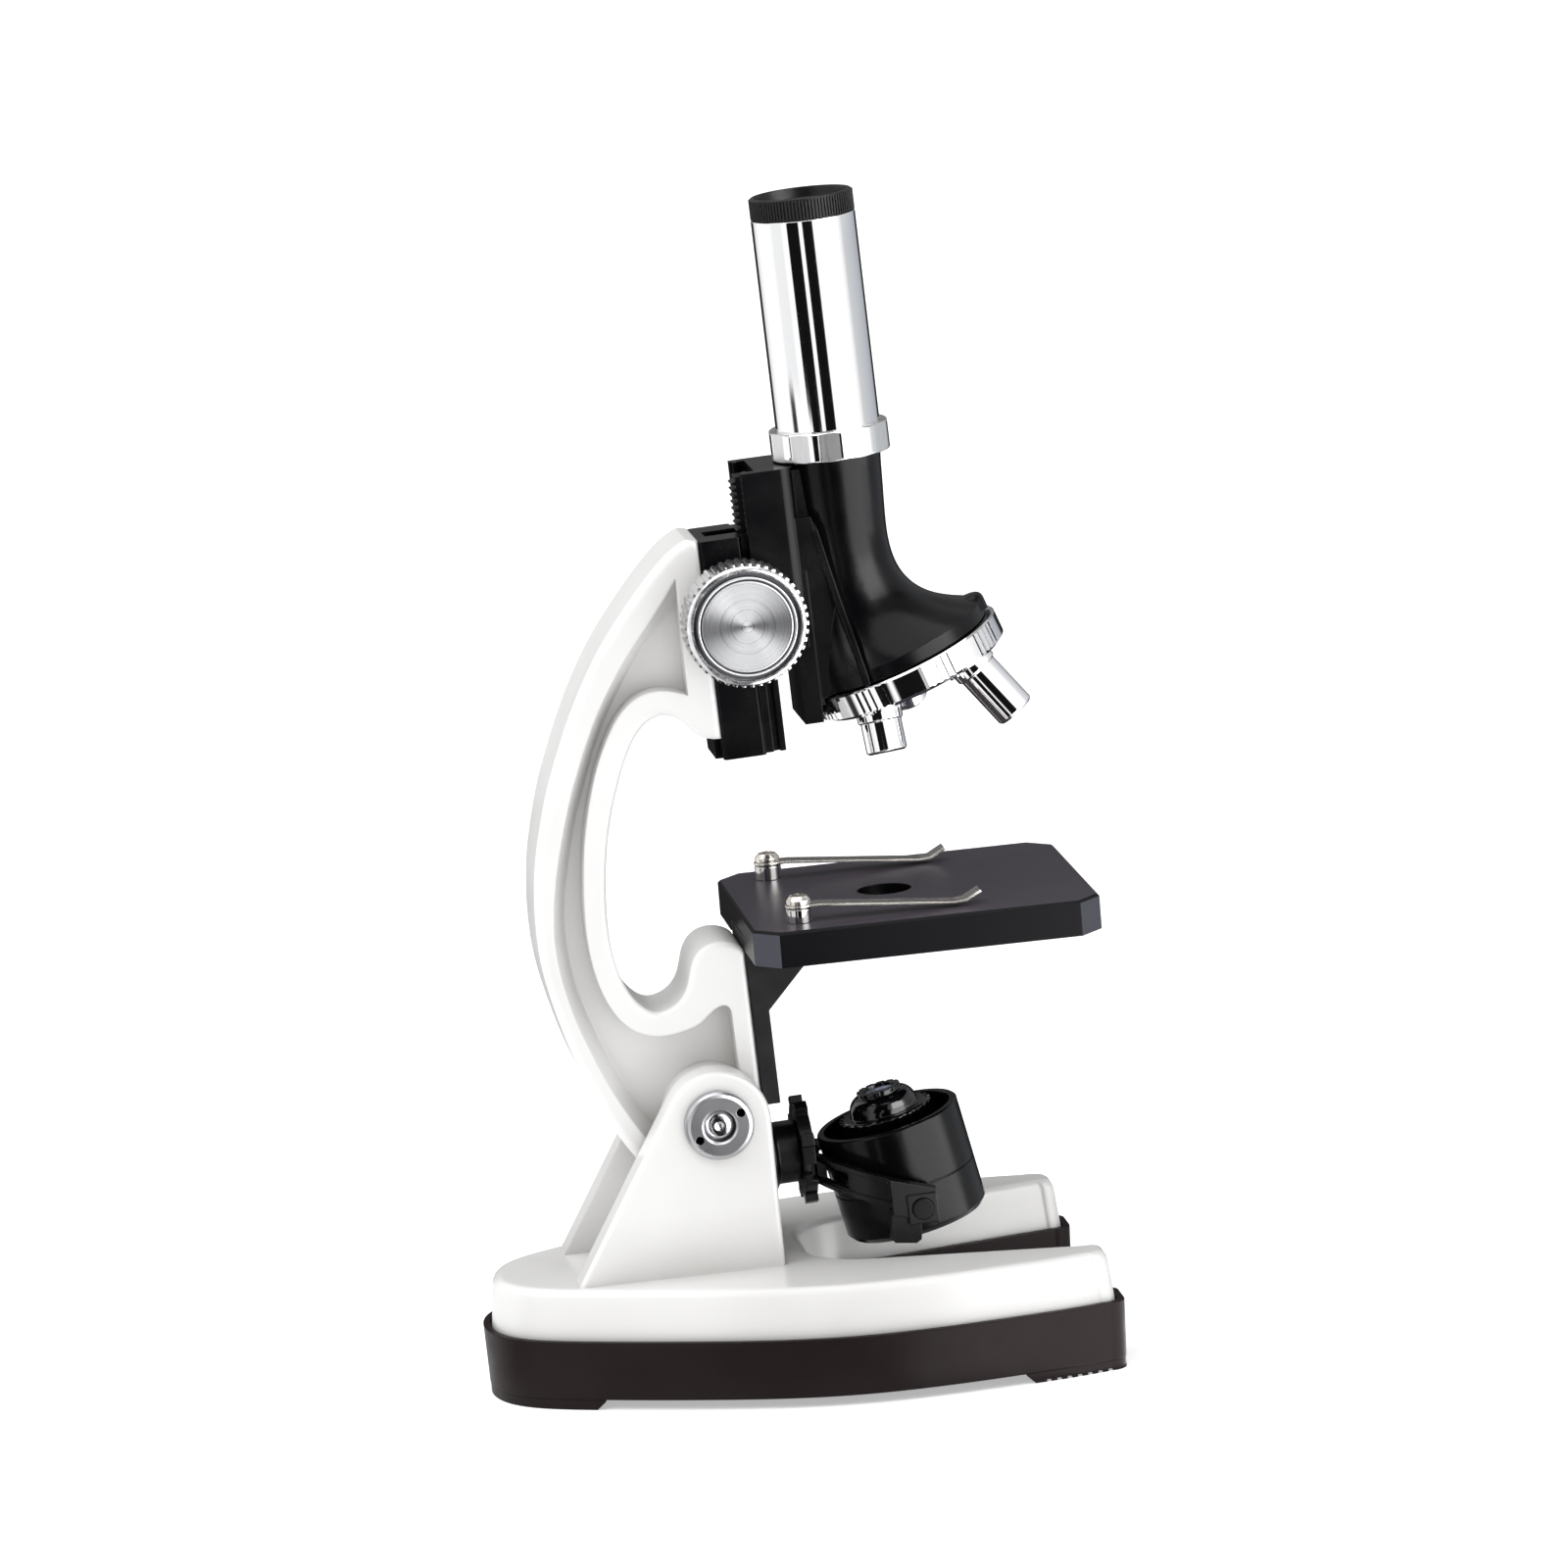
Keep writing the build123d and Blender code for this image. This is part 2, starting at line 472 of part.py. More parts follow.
# raised rib along the front of each gusset, running out over the flare
rib = [(0.0, 6.0), (0.3, 8.9), (1.2, 9.4), (8.2, 9.6), (12.2, 10.1), (17.4, 11.5), (21.9, 14.0), (27.6, 16.0), (31.0, 16.0), (31.0, 6.0)]
RD = Vector(5.8, 0, -30.0).normalized()
RN = Vector(RD.Z, 0, -RD.X)
for s in (1, -1):
    w = Wire.make_polygon([Vector(17.2, 0, 158.6) + RD * u + Vector(0, s * y, 0) - RN * 0.55 for u, y in rib], close=True)
    col += Part() + Solid.extrude(Face(w), RN * 1.1)
carrier = body + col
carrier += Part() + Solid.make_cylinder(8.85, 4.9, Plane(origin=(TX, 0, NECK_Z - 0.4)))
carrier -= Part() + Solid.make_cylinder(19.5, 14.0, Plane(origin=TURRET.from_local_coords(Vector(0, 0, 2.95 - 14.0)), z_dir=TURRET.z_dir))
carrier -= rod((TX, 0, 100), (0, 0, 1), 5.5, 90)
carrier -= box(7.0, 8.6, -2.3, 2.3, RACK_Z0 - 1, RACK_Z1)
ax = TURRET.from_local_coords(Vector(0, 0, 0))
carrier -= rod(ax, TURRET.z_dir, 2.51, 8.0)
save("tube_carrier", lean(carrier))

# lock ring with flat grip panels
ring = spun([(8.9, NECK_Z), (10.9, NECK_Z), (RING_R, NECK_Z + 0.3), (RING_R, 175.1), (10.9, 175.4),
             (9.75, 175.4), (9.75, 171.0), (8.9, 171.0)]).moved(Location((TX, 0, 0)))
flat = 11.04 / math.cos(math.pi / 12)
flats = [(flat * math.cos(math.radians(30 * i - 81.95)), flat * math.sin(math.radians(30 * i - 81.95))) for i in range(12)]
ring &= poly_z(flats, NECK_Z - 1, 177).moved(Location((TX, 0, 0)))
save("lock_ring", lean(ring))

tube = spun([(TUBE_RI, 171.0), (TUBE_R, 171.0), (TUBE_R, TUBE_TOP), (TUBE_RI, TUBE_TOP)]).moved(Location((TX, 0, 0)))
save("eyepiece_tube", lean(tube))

eye = spun([(7.2, 191.0), (8.84, 191.0), (8.84, 214.8), (9.4, 214.8), (9.4, 218.65), (9.25, EYE_TOP), (8.75, EYE_TOP),
            (8.35, 216.9), (7.4, 216.3), (4.6, 216.1), (4.6, 215.9), (5.3, 215.9), (5.3, 213.6), (7.2, 212.4), (7.2, 194.9), (7.7, 194.9),
            (7.7, 192.6), (7.2, 192.6)]).moved(Location((TX, 0, 0)))
eye += cogged(9.2, 9.7, 96, 214.95, 218.5, base=Plane(origin=(TX, 0, 0))) - rod((TX, 0, 210), (0, 0, 1), 9.0, 20)
save("eyepiece_shell", lean(eye))


def lens(x, z0, z1, r, bulge):
    n = 10
    top = [(r * i / n, z1 + bulge * (1 - (i / n) ** 2)) for i in range(n + 1)]
    return spun([(0, z0), (r, z0)] + top[::-1]).moved(Location((x, 0, 0)))


save("eye_lens", lean(lens(TX, 214.0, 215.2, 5.28, 0.6)))
save("field_lens", lean(lens(TX, 192.7, 194.0, 7.68, 0.7)))

# ---------------------------------------------------------------- turret
turret = spun([(2.55, -2.6), (17.6, -2.6), (TUR_R, -1.7), (TUR_R, 2.4), (TUR_R - 0.35, 2.75), (2.55, 2.75)])
for g in range(9):
    for i in range(5):
        a = 40 * g + 4.4 * (i - 2)
        turret -= Rot(0, 0, a) * Pos(TUR_R, 0, 0.2) * Box(0.9, 0.62, 4.6)
OBJ = {}
for name, psi in (("medium", PSI), ("long", PSI + 120), ("short", PSI - 120)):
    # psi is counted from the rear (under the tube) toward the near side
    p = math.radians(psi)
    rad = Vector(-math.cos(p), -math.sin(p), 0)
    h = math.radians(TILT)
    d = Vector(0, 0, -1) * math.cos(h) + rad * math.sin(h)
    o = rad * OBJ_C
    OBJ[name] = (o, d)
    turret += rod(o - d * 0.0, d, 5.0, 4.4)
for name, (o, d) in OBJ.items():
    turret -= rod(o - d * 6, d, 3.02, 12)
save("turret", lean(turret.moved(Location(TURRET))))

hub = rod((0, 0, -2.75), (0, 0, 1), 2.5, 10.5)
hub += spun([(0, -4.5), (3.0, -4.5), (4.2, -3.6), (4.2, -2.7), (0, -2.7)])
hub -= Pos(0, 0, -4.5) * Box(7.0, 1.0, 1.2)
save("turret_screw", lean(hub.moved(Location(TURRET))))

glass = []
for name, (o, d) in OBJ.items():
    L = OBJ_LEN[name]
    b = Plane(origin=o, z_dir=d)
    s = spun([(2.2, 1.8), (2.98, 1.8), (2.98, 4.4), (4.3, 4.4), (4.3, 6.0), (OBJ_R, 6.3), (OBJ_R, L - 0.5), (OBJ_R - 0.5, L),
              (1.7, L), (1.7, L - 0.6), (2.2, L - 0.6)], b)
    save("objective_" + name, lean(s.moved(Location(TURRET))))
    g = rod(o + d * (L - 1.9), d, 2.18, 1.3)
    glass.append(lean(g.moved(Location(TURRET))))
save("objective_lenses", *glass)

# ---------------------------------------------------------------- stage
c = ST_CH
stage = poly_z([(ST_X0 + c, -ST_Y), (ST_X1 - c, -ST_Y), (ST_X1, -ST_Y + c * 1.1), (ST_X1, ST_Y - c * 1.1), (ST_X1 - c, ST_Y),
                (ST_X0 + c, ST_Y), (ST_X0, ST_Y - c * 1.1), (ST_X0, -ST_Y + c * 1.1)], ST_Z0, ST_Z1)
stage = Part() + chamfer(stage.faces().sort_by(Axis.Z)[-1].edges(), 0.5)
stage -= box(-3.0, ST_X1 - 2.4, -ST_Y + 5.5, ST_Y - 5.5, ST_Z0 - 1, 84.2)
stage -= box(ST_X0 - 1, 0, -9.4, 9.4, ST_Z0 - 1, 84.2)
stage -= rod((HOLE_X, 0, 80), (0, 0, 1), HOLE_R, 20)
STAGE_SCREWS = [(12.0, -10.0), (12.0, 10.0)]
for x, y in STAGE_SCREWS:
    stage -= rod((x, y, 84), (0, 0, 1), 1.25, 3.2)
for s in (1, -1):
    stage -= rod((CLIP_X, s * CLIP_Y, 80), (0, 0, 1), 1.55, 20)
save("stage_plate", stage)

leg = box(ARM_LOW, -1.7, -9.0, 9.0, 51.0, 83.5)
for s in (1, -1):
    leg += poly_y([(-1.9, 68.6), (11.0, 81.5), (11.0, 82.4), (-1.9, 82.4)], min(s * 6.8, s * 9.0), max(s * 6.8, s * 9.0))
for z in LEG_SCREWS:
    leg -= rod((0, 0, z), (-1, 0, 0), 1.25, 8)
    leg -= rod((0, 0, z), (-1, 0, 0), 2.6, 3.4)
bracket = lean(leg) + box(-2.8, 36.0, -13.0, 13.0, 81.6, 84.2)
bracket -= rod((HOLE_X, 0, 75), (0, 0, 1), 8.0, 20)
for x, y in STAGE_SCREWS:
    bracket -= rod((x, y, 75), (0, 0, 1), 1.25, 20)
bracket -= box(-30, 60, -40, 40, 84.2, 95)
save("stage_bracket", bracket)
save("bracket_screws", *[lean(pan_screw((-3.4, 0, z), (-1, 0, 0), 2.3, 1.5, 1.2, 4.6)) for z in LEG_SCREWS],
     *[pan_screw((x, y, 81.6), (0, 0, 1), 2.3, 1.5, 1.2, 5.0) for x, y in STAGE_SCREWS])

# spring clips on short posts
POST_Z = 90.9
save("clip_posts", *[spun([(1.55, ST_Z1), (2.5, ST_Z1), (2.5, POST_Z - 0.3), (2.2, POST_Z), (1.55, POST_Z)]).moved(
    Location((CLIP_X, s * CLIP_Y, 0))) for s in (-1, 1)])
save("clip_screws", *[pan_screw((CLIP_X, s * CLIP_Y, POST_Z + 0.6), (0, 0, -1), 2.3, 1.7, 1.5, 8.0, 20 + 35 * s)
                      for s in (-1, 1)])


def clip(s):
    z = POST_Z + 0.06
    t = 0.46
    prof = [(0.0, z), (4.0, z), (28.8, ST_Z1 + 0.55), (31.0, ST_Z1 + 0.75), (34.0, ST_Z1 + 2.3),
            (33.7, ST_Z1 + 2.3 + t), (30.8, ST_Z1 + 0.75 + t), (28.8, ST_Z1 + 0.55 + t), (4.0, z + t), (0.0, z + t)]
    b = poly_y([(CLIP_X + x, zz) for x, zz in prof], s * CLIP_Y - 2.1, s * CLIP_Y + 2.1)
    b += rod((CLIP_X, s * CLIP_Y, z), (0, 0, 1), 2.6, t)
    return b - rod((CLIP_X, s * CLIP_Y, 80), (0, 0, 1), 1.56, 20)


save("clip_near", clip(-1))
save("clip_far", clip(1))

# ---------------------------------------------------------------- illuminator
stub = spun([(0, -7.0), (1.95, -7.0), (1.95, 0), (7.0, 0), (7.0, 1.4), (5.9, 2.0), (5.9, 6.1), (2.5, 6.1), (2.5, 8.7),
             (3.4, 8.7), (3.4, 9.2), (2.9, 9.6), (0, 9.6)], Plane(origin=(ARM_LOW, 0, LAMP_Z), z_dir=(1, 0, 0)))
save("lamp_stub", lean(stub))

HX = ARM_LOW + 6.2            # back face of the fork's disc
disc = rod((HX, 0, LAMP_Z), (1, 0, 0), 8.9, 2.4)
for i in range(8):
    a = math.radians(22.5 + 45 * i)
    disc += Pos(HX + 1.2, 8.9 * math.cos(a), LAMP_Z + 8.9 * math.sin(a)) * Rot(math.degrees(a), 0, 0) * Box(2.4, 2.6, 2.4)
# half-ring yoke: a ribbed band that slopes down from the disc round the back of the drum to the two pins
def band(t0, t1):
    """Side profile of the yoke between two heights below its top edge."""
    z = lambda x: 39.9 - 0.335 * (x - 2.4)
    return [(2.6, z(2.6) - t0), (24.4, z(24.4) - t0), (24.4, z(24.4) - t1), (2.6, z(2.6) - t1)]


def yoke(r1, t0, t1):
    y = rod((YOKE_X, 0, 15), (0, 0, 1), r1, 40) + box(YOKE_X, 24.4, -r1, r1, 15, 55)
    y -= rod((YOKE_X, 0, 15), (0, 0, 1), YOKE_RI, 40) + box(YOKE_X, 30, -YOKE_RI, YOKE_RI, 15, 55)
    return y & poly_y(band(t0, t1), -30, 30)


fork = disc + yoke(17.0, 0.0, 5.6) + yoke(17.5, 0.0, 0.9) + yoke(17.5, 4.7, 5.6)
for s in (1, -1):
    y0, y1 = sorted((s * YOKE_RI, s * 18.2))
    fork += poly_y([(15.8, 35.4), (24.4, 32.6), (24.4, 25.8), (15.8, 28.6)], y0, y1)
    y0, y1 = sorted((s * 17.6, s * 18.6))
    fork += box(18.6, 24.2, y0, y1, 26.4, 32.0)
    y0, y1 = sorted((s * YOKE_RI, s * 17.6))
    fork += poly_y([(15.6, 29.4), (21.2, 27.4), (20.6, 23.2), (19.6, 22.6), (15.6, 23.2), (14.9, 24.2)], y0, y1)
    y0, y1 = sorted((s * 4.6, s * 12.4))
    fork -= box(2.0, 14.0, y0, y1, 0, 60) & poly_y(band(1.3, 4.3), -30, 30)
fork -= rod((HX - 1, 0, LAMP_Z), (1, 0, 0), 2.55, 8)
fork -= rod((HX + 2.4, 0, LAMP_Z), (1, 0, 0), 3.7, 8)
fork -= rod((PIN_X, -30, PIN_Z), (0, 1, 0), 2.05, 60)
save("lamp_fork", lean(fork))

t = math.radians(DRUM_TILT)
DRUM = Plane(origin=(PIN_X, 0, PIN_Z), x_dir=(math.cos(t), 0, math.sin(t)), z_dir=(-math.sin(t), 0, math.cos(t)))
drum = spun([(0, 2.0), (12.3, 2.0), (12.3, 14.6), (DRUM_R - 0.3, 14.6), (DRUM_R, 14.3), (DRUM_R - 0.1, -5.2), (12.8, -6.2),
             (11.4, -6.2), (11.4, -4.2), (0, -4.2)])
drum -= spun([(13.42, 2.7), (14.5, 2.7), (14.5, 3.05), (13.42, 3.05)])
for s in (1, -1):
    drum += rod((0, s * 13.0, 0), (0, s, 0), 3.4, 1.5)
    drum += rod((0, s * 13.0, 0), (0, s, 0), 2.0, 6.0)
save("lamp_drum", lean(drum.moved(Location(DRUM))))

capl = cogged(8.2, 8.95, 26, 12.9, 15.7)
dome = [(4.3 + 2.3 * math.cos(math.radians(a)), 15.9 + 3.4 * math.sin(math.radians(a))) for a in range(0, 85, 7)]
capl += spun([(0, 2.0), (6.5, 2.0), (6.5, 12.2), (8.4, 12.6), (8.4, 15.6), (8.1, 15.9)] + dome +
             [(4.2, 19.3), (4.2, 20.2), (0, 20.2)])
for i in range(12):
    a = math.radians(30 * i)
    capl -= Pos(4.25 * math.cos(a), 4.25 * math.sin(a), 20.2) * Rot(0, 0, 30 * i) * Box(1.1, 0.7, 1.3)
capl -= rod((0, 0, 19.0), (0, 0, 1), 2.92, 3)
save("lamp_cap", lean(capl.moved(Location(DRUM))))
save("lamp_lens", lean(lens(0, 19.0, 19.7, 2.9, 0.45).moved(Location(DRUM))))
save("mirror", lean(rod((0, 0, -5.6), (0, 0, 1), 11.35, 1.4).moved(Location(DRUM))))
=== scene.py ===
import json
import math

import bmesh
import bpy
from mathutils import Matrix, Vector


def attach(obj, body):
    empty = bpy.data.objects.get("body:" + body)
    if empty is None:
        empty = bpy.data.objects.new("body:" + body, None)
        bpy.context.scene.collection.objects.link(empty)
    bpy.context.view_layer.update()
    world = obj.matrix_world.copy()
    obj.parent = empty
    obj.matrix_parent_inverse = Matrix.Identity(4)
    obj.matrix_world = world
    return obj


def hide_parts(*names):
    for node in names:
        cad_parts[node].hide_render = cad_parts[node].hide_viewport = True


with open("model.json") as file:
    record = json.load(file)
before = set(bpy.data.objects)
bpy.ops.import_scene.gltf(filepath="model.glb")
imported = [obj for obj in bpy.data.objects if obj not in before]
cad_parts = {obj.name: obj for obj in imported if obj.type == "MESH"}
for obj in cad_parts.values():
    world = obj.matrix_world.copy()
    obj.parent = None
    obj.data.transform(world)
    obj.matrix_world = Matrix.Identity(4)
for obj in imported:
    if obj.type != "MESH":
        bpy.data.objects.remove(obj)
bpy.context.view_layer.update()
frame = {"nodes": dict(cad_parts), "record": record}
NODES = frame["nodes"]
BODY = {n: b for b, ns in frame["record"]["behaviour"]["bodies"].items() for n in ns}
MM = 0.001

# the arm and all it carries rests leaning back about the tilt pivot
LEAN = math.radians(2.1)
PIVOT = Vector((-0.0145, 0.0, 0.0505))


def leaned(x, y, z):
    """A point of the upright arm, in millimetres, where it rests."""
    d = Vector((x * MM, y * MM, z * MM)) - PIVOT
    c, s = math.cos(LEAN), math.sin(LEAN)
    return PIVOT + Vector((d.x * c - d.z * s, d.y, d.x * s + d.z * c))


# ------------------------------------------------------------------ materials
class Mat:
    """A procedural material around one principled shader, in the object's own coordinates."""

    def __init__(self, name, **sockets):
        self.m = bpy.data.materials.new(name)
        self.m.use_nodes = True
        self.t = self.m.node_tree
        self.t.nodes.clear()
        self.out = self.t.nodes.new("ShaderNodeOutputMaterial")
        self.p = self.t.nodes.new("ShaderNodeBsdfPrincipled")
        self.t.links.new(self.p.outputs[0], self.out.inputs[0])
        self.co = self.t.nodes.new("ShaderNodeTexCoord").outputs["Object"]
        self.set(**sockets)

    def set(self, **sockets):
        for k, v in sockets.items():
            s = self.p.inputs[k.replace("_", " ")]
            s.default_value = (*v, 1.0) if isinstance(v, tuple) and len(v) == 3 and s.type == "RGBA" else v

    def node(self, kind, **props):
        n = self.t.nodes.new("ShaderNode" + kind)
        for k, v in props.items():
            setattr(n, k, v)
        return n

    def link(self, a, b):
        self.t.links.new(a, b)

    def put(self, socket, value):
        if isinstance(value, bpy.types.NodeSocket):
            self.link(value, socket)
        else:
            socket.default_value = value

    def math(self, op, a, b=0.0, c=0.0):
        n = self.node("Math", operation=op)
        for s, v in zip(n.inputs, (a, b, c)):
            self.put(s, v)
        return n.outputs[0]

    def vmath(self, op, a, b=None, out=0):
        n = self.node("VectorMath", operation=op)
        self.put(n.inputs[0], a)
        if b is not None:
            self.put(n.inputs[1], b)
        return n.outputs[out]

    def noise(self, size_mm, detail=2.0, rough=0.5, vec=None, stretch=None, distortion=0.0):
        """Noise whose features are about size_mm across."""
        v = vec if vec is not None else self.co
        if stretch:
            m = self.node("Mapping")
            m.inputs["Scale"].default_value = stretch
            self.link(v, m.inputs["Vector"])
            v = m.outputs[0]
        n = self.node("TexNoise")
        self.link(v, n.inputs["Vector"])
        n.inputs["Scale"].default_value = 1000.0 / size_mm
        n.inputs["Detail"].default_value = detail
        n.inputs["Roughness"].default_value = rough
        n.inputs["Distortion"].default_value = distortion
        return n.outputs["Fac"]

    def span(self, fac, lo, hi, f0=0.3, f1=0.7):
        n = self.node("MapRange")
        self.link(fac, n.inputs["Value"])
        for k, v in (("From Min", f0), ("From Max", f1), ("To Min", lo), ("To Max", hi)):
            n.inputs[k].default_value = v
        return n.outputs[0]

    def ramp(self, fac, *stops, mode="LINEAR"):
        n = self.node("ValToRGB")
        n.color_ramp.interpolation = mode
        e = n.color_ramp.elements
        while len(e) > 1:
            e.remove(e[-1])
        for i, (pos, col) in enumerate(stops):
            el = e[0] if i == 0 else e.new(pos)
            el.position = pos
            el.color = (*col, 1.0) if len(col) == 3 else col
        self.link(fac, n.inputs[0])
        return n.outputs[0]

    def color(self, fac, dark, light, f0=0.3, f1=0.7):
        self.link(self.ramp(fac, (f0, dark), (f1, light)), self.p.inputs["Base Color"])

    def rough(self, fac, lo, hi, f0=0.3, f1=0.7):
        self.link(self.span(fac, lo, hi, f0, f1), self.p.inputs["Roughness"])

    def bump(self, height, depth_mm, strength=1.0):
        n = self.node("Bump")
        n.inputs["Strength"].default_value = strength
        n.inputs["Distance"].default_value = depth_mm * MM
        self.link(height, n.inputs["Height"])
        last = self.p.inputs["Normal"]
        if last.links:
            self.link(last.links[0].from_socket, n.inputs["Normal"])
        self.link(n.outputs[0], last)

    def soften(self, radius_mm):
        """Shade the edges as if they were rounded."""
        n = self.node("Bevel", samples=6)
        n.inputs["Radius"].default_value = radius_mm * MM
        self.link(n.outputs[0], self.p.inputs["Normal"])

    def scratches(self, size_mm, stretch):
        """Fine hairlines, mostly along one way."""
        a = self.noise(size_mm, 3.0, 0.6, stretch=stretch)
        return self.math("GREATER_THAN", a, 0.66)


def white_paint():
    m = Mat("white_paint", Coat_Weight=0.3, Coat_Roughness=0.14, IOR=1.5)
    m.soften(0.7)
    big = m.noise(38, 3.0, 0.55)
    fine = m.noise(0.55, 2.0, 0.6)
    tone = m.ramp(big, (0.35, (0.800, 0.796, 0.787)), (0.65, (0.850, 0.847, 0.840)))
    # painted shade: the colour is painted a little greyer in the recesses, by ambient occlusion
    recess_shade_ao = m.node("AmbientOcclusion", samples=8)
    recess_shade_ao.inputs["Distance"].default_value = 0.011
    shade = m.ramp(recess_shade_ao.outputs["AO"], (0.30, (0.74, 0.735, 0.725)), (0.90, (1.0, 1.0, 1.0)))
    # and painted shade toward the foot: the colour is a little greyer there
    height = m.node("SeparateXYZ")
    m.link(m.co, height.inputs[0])
    painted_foot_shade = m.ramp(m.math("MULTIPLY", height.outputs[2], 10.0), (0.19, (0.86, 0.858, 0.855)), (0.34, (1.0, 1.0, 1.0)))
    m.link(m.vmath("MULTIPLY", m.vmath("MULTIPLY", tone, shade), painted_foot_shade), m.p.inputs["Base Color"])
    m.rough(m.noise(14, 1.0), 0.30, 0.37)
    m.bump(fine, 0.008, 0.15)
    m.bump(m.noise(16, 1.0), 0.05, 0.08)
    return m.m


def tray_plastic():
    m = Mat("tray_plastic", IOR=1.46, Specular_IOR_Level=0.09)
    m.soften(0.45)
    m.color(m.noise(24, 3.0), (0.0105, 0.0066, 0.0070), (0.0150, 0.0100, 0.0105))
    m.rough(m.noise(5, 3.0, 0.6), 0.36, 0.47)
    m.bump(m.noise(0.32, 2.0, 0.7), 0.02, 0.4)
    m.bump(m.noise(14, 1.0), 0.10, 0.10)
    return m.m


def gloss_black(name="gloss_black", lo=0.20, hi=0.28, tint=(0.0014, 0.0014, 0.0021), spec=0.16):
    m = Mat(name, IOR=1.5, Specular_IOR_Level=spec)
    m.soften(0.3)
    m.color(m.noise(16, 3.0), tuple(x * 0.75 for x in tint), tuple(x * 1.5 for x in tint))
    smudge = m.noise(7, 4.0, 0.62, distortion=0.4)
    m.rough(smudge, lo, hi)
    m.bump(m.noise(18, 1.0), 0.20, 0.16)
    m.bump(m.noise(0.8, 2.0), 0.004, 0.25)
    return m.m


def satin_black(name="satin_black", tint=(0.0055, 0.0053, 0.0062), lo=0.30, hi=0.42, grain=0.28):
    m = Mat(name, IOR=1.47, Specular_IOR_Level=0.28)
    m.soften(0.2)
    m.color(m.noise(11, 3.0), tuple(x * 0.8 for x in tint), tuple(x * 1.35 for x in tint))
    m.rough(m.noise(4, 3.0, 0.6), lo, hi)
    m.bump(m.noise(grain, 2.0, 0.7), 0.016, 0.4)
    m.bump(m.noise(9, 1.0), 0.06, 0.12)
    return m.m


def stage_black():
    m = Mat("stage_black", IOR=1.45, Specular_IOR_Level=0.13)
    m.soften(0.25)
    # painted shade: the wall of the light hole is painted nearly black, as if in shadow
    flat = m.vmath("MULTIPLY", m.vmath("SUBTRACT", m.co, (0.0222, 0.0, 0.0)), (1.0, 1.0, 0.0))
    out = m.math("GREATER_THAN", m.vmath("LENGTH", flat, out=1), 0.00516)
    tone = m.math("MULTIPLY", out, m.span(m.noise(30, 3.0), 0.72, 1.0))
    # painted sheen: the top is painted a lighter, greyer black than the sides, and the cut corners get a painted
    # highlight a shade greyer than the moulded sides
    face = m.node("SeparateXYZ")
    m.link(m.node("TexCoord").outputs["Normal"], face.inputs[0])
    cut = m.math("MULTIPLY", m.math("ABSOLUTE", m.math("MULTIPLY", face.outputs[0], face.outputs[1])), 2.0)
    painted_corner_highlight = m.ramp(m.math("MULTIPLY", cut, out), (0.75, (0.0, 0.0, 0.0)), (0.93, (0.055, 0.057, 0.070)))
    painted_top_sheen = m.ramp(face.outputs[2], (0.80, (0.0, 0.0, 0.0)), (0.96, (0.042, 0.036, 0.046)))
    base = m.ramp(tone, (0.0, (0.0004, 0.0004, 0.0005)), (1.0, (0.0016, 0.0014, 0.0026)))
    m.link(m.vmath("ADD", m.vmath("ADD", base, painted_corner_highlight), painted_top_sheen), m.p.inputs["Base Color"])
    m.rough(m.noise(26, 2.0), 0.28, 0.33)
    m.bump(m.noise(0.26, 2.0, 0.7), 0.014, 0.4)
    return m.m


def chrome():
    m = Mat("chrome", Metallic=1.0)
    m.color(m.noise(20, 3.0), (0.865, 0.870, 0.880), (0.905, 0.908, 0.915))
    haze = m.noise(6, 4.0, 0.65, distortion=0.3)
    m.rough(haze, 0.022, 0.060)
    m.bump(m.noise(13, 1.0), 0.012, 0.10)
    return m.m


def ring_chrome(centre):
    """Plated ring with twelve brushed grip flats about the leaning tube."""
    m = Mat("ring_chrome", Metallic=1.0)
    d = m.vmath("SUBTRACT", m.co, tuple(centre))
    side = m.vmath("DOT_PRODUCT", d, (math.cos(LEAN), 0.0, math.sin(LEAN)), out=1)
    near = m.vmath("DOT_PRODUCT", d, (0.0, 1.0, 0.0), out=1)
    turn = m.math("DIVIDE", m.math("ARCTAN2", near, side), math.radians(30.0))
    unit = m.math("SUBTRACT", m.math("FRACT", m.math("ADD", turn, 96.95 / 30.0 + 10.5)), 0.5)
    flat = m.math("LESS_THAN", m.math("ABSOLUTE", unit), 0.318)
    brush = m.noise(0.5, 3.0, 0.6, stretch=(1.0, 1.0, 0.06))
    tone = m.math("MULTIPLY", flat, m.span(brush, 0.75, 1.0))
    m.color(tone, (0.885, 0.888, 0.895), (0.60, 0.60, 0.61), 0.0, 1.0)
    m.link(m.span(tone, 0.035, 0.34, 0.0, 1.0), m.p.inputs["Roughness"])
    return m.m


def gunmetal():
    m = Mat("nut_chrome", Metallic=1.0)
    m.soften(0.18)
    # painted shade: the two pin holes are painted dark inside
    pin_hole_shade = None
    for a in (29, 209):
        c = (PIVOT.x + 0.0046 * math.cos(math.radians(a)), 0.0, PIVOT.z + 0.0046 * math.sin(math.radians(a)))
        d = m.vmath("MULTIPLY", m.vmath("SUBTRACT", m.co, c), (1.0, 0.0, 1.0))
        out = m.math("GREATER_THAN", m.vmath("LENGTH", d, out=1), 0.00083)
        pin_hole_shade = out if pin_hole_shade is None else m.math("MULTIPLY", pin_hole_shade, out)
    m.color(m.math("MULTIPLY", pin_hole_shade, m.span(m.noise(12, 1.0), 0.93, 1.0)), (0.006, 0.006, 0.007), (0.50, 0.495, 0.515), 0.0, 1.0)
    m.rough(m.noise(10, 1.0), 0.27, 0.31)
    return m.m


